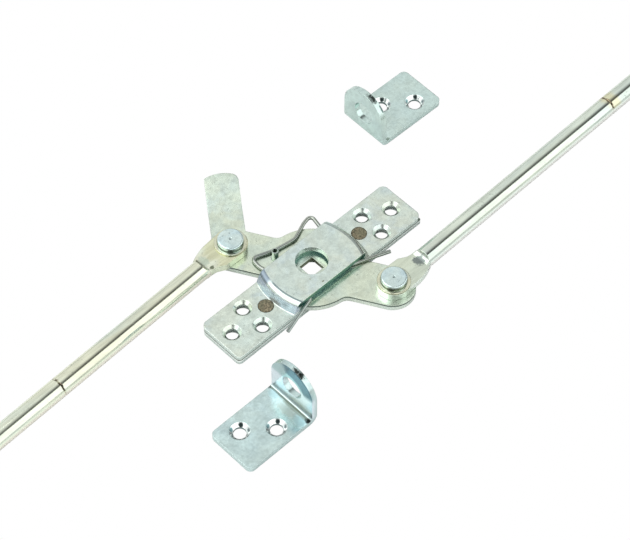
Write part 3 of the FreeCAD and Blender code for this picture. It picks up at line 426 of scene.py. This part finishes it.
def rivet_material():
    m = Tree("rivet_ground")
    a = m.noise(1000.0, 3.0, 0.7)
    b = m.noise(260.0, 3.0, 0.6)
    col = m.mix(m.spread(a, 0.38, 0.62), lin(72, 68, 52), lin(158, 148, 122))
    col = m.mix(m.math("MULTIPLY", m.spread(b, 0.42, 0.62), 0.5), col, lin(112, 114, 92))
    x, y, z = m.xyz()
    # painted shade: a darker rim round each rivet head, for the shaded groove at its edge
    dx = m.math("SUBTRACT", m.math("ABSOLUTE", x), 30.5 * MM)
    dy = m.math("ADD", y, 0.8 * MM)
    rr = m.math("SQRT", m.math("ADD", m.math("MULTIPLY", dx, dx), m.math("MULTIPLY", dy, dy)))
    col = m.mix(m.math("MULTIPLY", m.spread(rr, 3.1 * MM, 3.8 * MM), 0.7), col, lin(56, 54, 44))
    m.link(col, m.bsdf.inputs["Base Color"])
    m.bsdf.inputs["Metallic"].default_value = 0.55
    m.link(m.spread(a, 0.3, 0.7, 0.5, 0.72), m.bsdf.inputs["Roughness"])
    m.link(m.bump(a, 0.5, 0.00015, base=m.bevel(0.2 * MM)), m.bsdf.inputs["Normal"])
    return m.mat


rivet_m = rivet_material()
LOOKS = {
    "back_plate": plate, "bridge_plate": bridge_m, "plate_rivets": rivet_m, "cam_plate": cam_m, "hub_ring": cam_m,
    "stop_pin": sleeve_m, "left_pivot_pin": pin_m, "right_pivot_pin": pin_m, "left_pin_washer": ring_m,
    "right_pin_washer": ring_m, "left_rod_eye": rod_l, "left_rod_bar": rod_l, "right_rod_eye": rod_r,
    "right_rod_bar": rod_r, "wire_spring": wire_m, "right_guide_bracket": guide_r, "left_guide_bracket": guide_l,
}
for name, mat in LOOKS.items():
    o = nodes[name]
    if not o.material_slots:
        o.data.materials.append(mat)
    for s in o.material_slots:
        s.material = mat

# The real wire gives way by about a millimetre when the stop pin has come round to its other side; here it is only
# copied into its own mesh and hung on the case body.
spring = bpy.data.objects.new("spring_wire", nodes["wire_spring"].data.copy())
bpy.context.scene.collection.objects.link(spring)
for s in spring.material_slots:
    s.material = wire_m
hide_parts("wire_spring")
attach(spring, "case")
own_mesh(spring)

# ------------------------------------------------------------------ floor, light, camera
bm = bmesh.new()
bmesh.ops.create_grid(bm, x_segments=2, y_segments=2, size=3.0)
me = bpy.data.meshes.new("floor")
bm.to_mesh(me)
bm.free()
floor = bpy.data.objects.new("floor", me)
bpy.context.scene.collection.objects.link(floor)
floor.location = (0, 0, -0.0002)
fm = Tree("floor_white")
fm.bsdf.inputs["Base Color"].default_value = (0.80, 0.81, 0.80, 1)
fm.bsdf.inputs["Roughness"].default_value = 0.9
fm.bsdf.inputs["Specular IOR Level"].default_value = 0.0
seen = fm.t.nodes.new("ShaderNodeEmission")
seen.inputs["Color"].default_value = (1, 1, 1, 1)
seen.inputs["Strength"].default_value = 1.0
path = fm.t.nodes.new("ShaderNodeLightPath")
fmix = fm.t.nodes.new("ShaderNodeMixShader")
fm.link(path.outputs["Is Camera Ray"], fmix.inputs[0])
fm.link(fm.bsdf.outputs[0], fmix.inputs[1])
fm.link(seen.outputs[0], fmix.inputs[2])
fm.link(fmix.outputs[0], fm.out.inputs[0])
floor.data.materials.append(fm.mat)

world = bpy.data.worlds.new("studio")
bpy.context.scene.world = world
world.use_nodes = True
wt = world.node_tree
wt.nodes.clear()
w_out = wt.nodes.new("ShaderNodeOutputWorld")
w_bg = wt.nodes.new("ShaderNodeBackground")
wt.links.new(w_bg.outputs[0], w_out.inputs[0])
w_tc = wt.nodes.new("ShaderNodeTexCoord")
w_sep = wt.nodes.new("ShaderNodeSeparateXYZ")
w_norm = wt.nodes.new("ShaderNodeVectorMath")
w_norm.operation = "NORMALIZE"
wt.links.new(w_tc.outputs["Generated"], w_norm.inputs[0])
wt.links.new(w_norm.outputs[0], w_sep.inputs[0])
WX, WY, WZ = w_sep.outputs


def wmath(op, a, b=0.0, clamp=False):
    n = wt.nodes.new("ShaderNodeMath")
    n.operation = op
    n.use_clamp = clamp
    for i, v in enumerate((a, b)):
        if isinstance(v, bpy.types.NodeSocket):
            wt.links.new(v, n.inputs[i])
        else:
            n.inputs[i].default_value = v
    return n.outputs[0]


def wband(v, lo, hi, a, b):
    n = wt.nodes.new("ShaderNodeMapRange")
    n.interpolation_type = "SMOOTHSTEP"
    wt.links.new(v, n.inputs[0])
    n.inputs[1].default_value, n.inputs[2].default_value = lo, hi
    n.inputs[3].default_value, n.inputs[4].default_value = a, b
    return n.outputs[0]


def wlobe(direction, inner, outer):
    # 1 inside inner degrees of a direction, 0 outside outer degrees
    d = Vector(direction).normalized()
    n = wt.nodes.new("ShaderNodeVectorMath")
    n.operation = "DOT_PRODUCT"
    wt.links.new(w_norm.outputs[0], n.inputs[0])
    n.inputs[1].default_value = d
    return wband(n.outputs["Value"], math.cos(math.radians(outer)), math.cos(math.radians(inner)), 0.0, 1.0)


def wdot(x, y, z):
    n = wt.nodes.new("ShaderNodeVectorMath")
    n.operation = "DOT_PRODUCT"
    wt.links.new(w_norm.outputs[0], n.inputs[0])
    n.inputs[1].default_value = (x, y, z)
    return n.outputs["Value"]


# a white tent: even overhead, a brighter panel in front, a dark joint between the two, a dimmer
# patch at the back and a small opening for the lens
joint = wdot(-0.171, 0.8515, 0.4958)
level = wband(WZ, -0.02, 0.22, 0.50, 0.97)
front = wmath("MULTIPLY", wband(joint, -0.01, 0.03, 0.62, 0.0), wband(WZ, -0.02, 0.12, 0.0, 1.0))
level = wmath("ADD", level, front)
key = wmath("MULTIPLY", wlobe((-0.72, 0.42, 0.56), 5.0, 9.0), 1.1)
level = wmath("ADD", level, key)
side = wmath("MULTIPLY", wlobe((-0.85, 0.02, 0.52), 13.0, 20.0), 0.75)
level = wmath("ADD", level, side)
level = wmath("MULTIPLY", level, wmath("SUBTRACT", 1.0, wmath("MULTIPLY", wlobe((-0.12, 0.42, 0.90), 7.0, 13.0), 0.45)))
# the joint is wide overhead and narrow at the left
wide = wband(WX, 0.05, 0.35, 0.0, 1.0)
thin_gap = wband(wmath("ABSOLUTE", joint), 0.12, 0.155, 0.02, 1.0)
wide_gap = wmath("MAXIMUM", wband(joint, 0.0, 0.08, 1.0, 0.0), wband(joint, 0.2, 0.66, 0.08, 1.0))
gap = wmath("ADD", thin_gap, wmath("MULTIPLY", wide, wmath("SUBTRACT", wide_gap, thin_gap)))
level = wmath("MULTIPLY", level, gap)
level = wmath("MULTIPLY", level, wmath("SUBTRACT", 1.0, wmath("MULTIPLY", wlobe((-0.4072, -0.4231, 0.8094), 5.0, 8.0), 0.9)))
wt.links.new(level, w_bg.inputs["Strength"])
w_bg.inputs["Color"].default_value = (1.0, 1.0, 1.0, 1)

lamp = bpy.data.lights.new("soft_top", "AREA")
lamp.shape = "SQUARE"
lamp.size = 1.2
lamp.energy = 6.0
lo = bpy.data.objects.new("soft_top", lamp)
bpy.context.scene.collection.objects.link(lo)
lo.location = (-0.5, 0.42, 0.95)
lo.rotation_euler = Vector((0.5, -0.42, -0.95)).to_track_quat("-Z", "Y").to_euler()

cam = bpy.data.cameras.new("camera")
cam.sensor_width = 36.0
cam.lens = 140.34
cam.clip_start = 0.01
cam.clip_end = 20.0
co = bpy.data.objects.new("camera", cam)
bpy.context.scene.collection.objects.link(co)
co.location = (-0.4714, -0.4919, 0.9437)
co.rotation_euler = (math.radians(90 - 54.04), 0.0, math.radians(-43.91))
bpy.context.scene.camera = co
bpy.context.scene.view_settings.view_transform = "Standard"
bpy.context.scene.view_settings.look = "None"
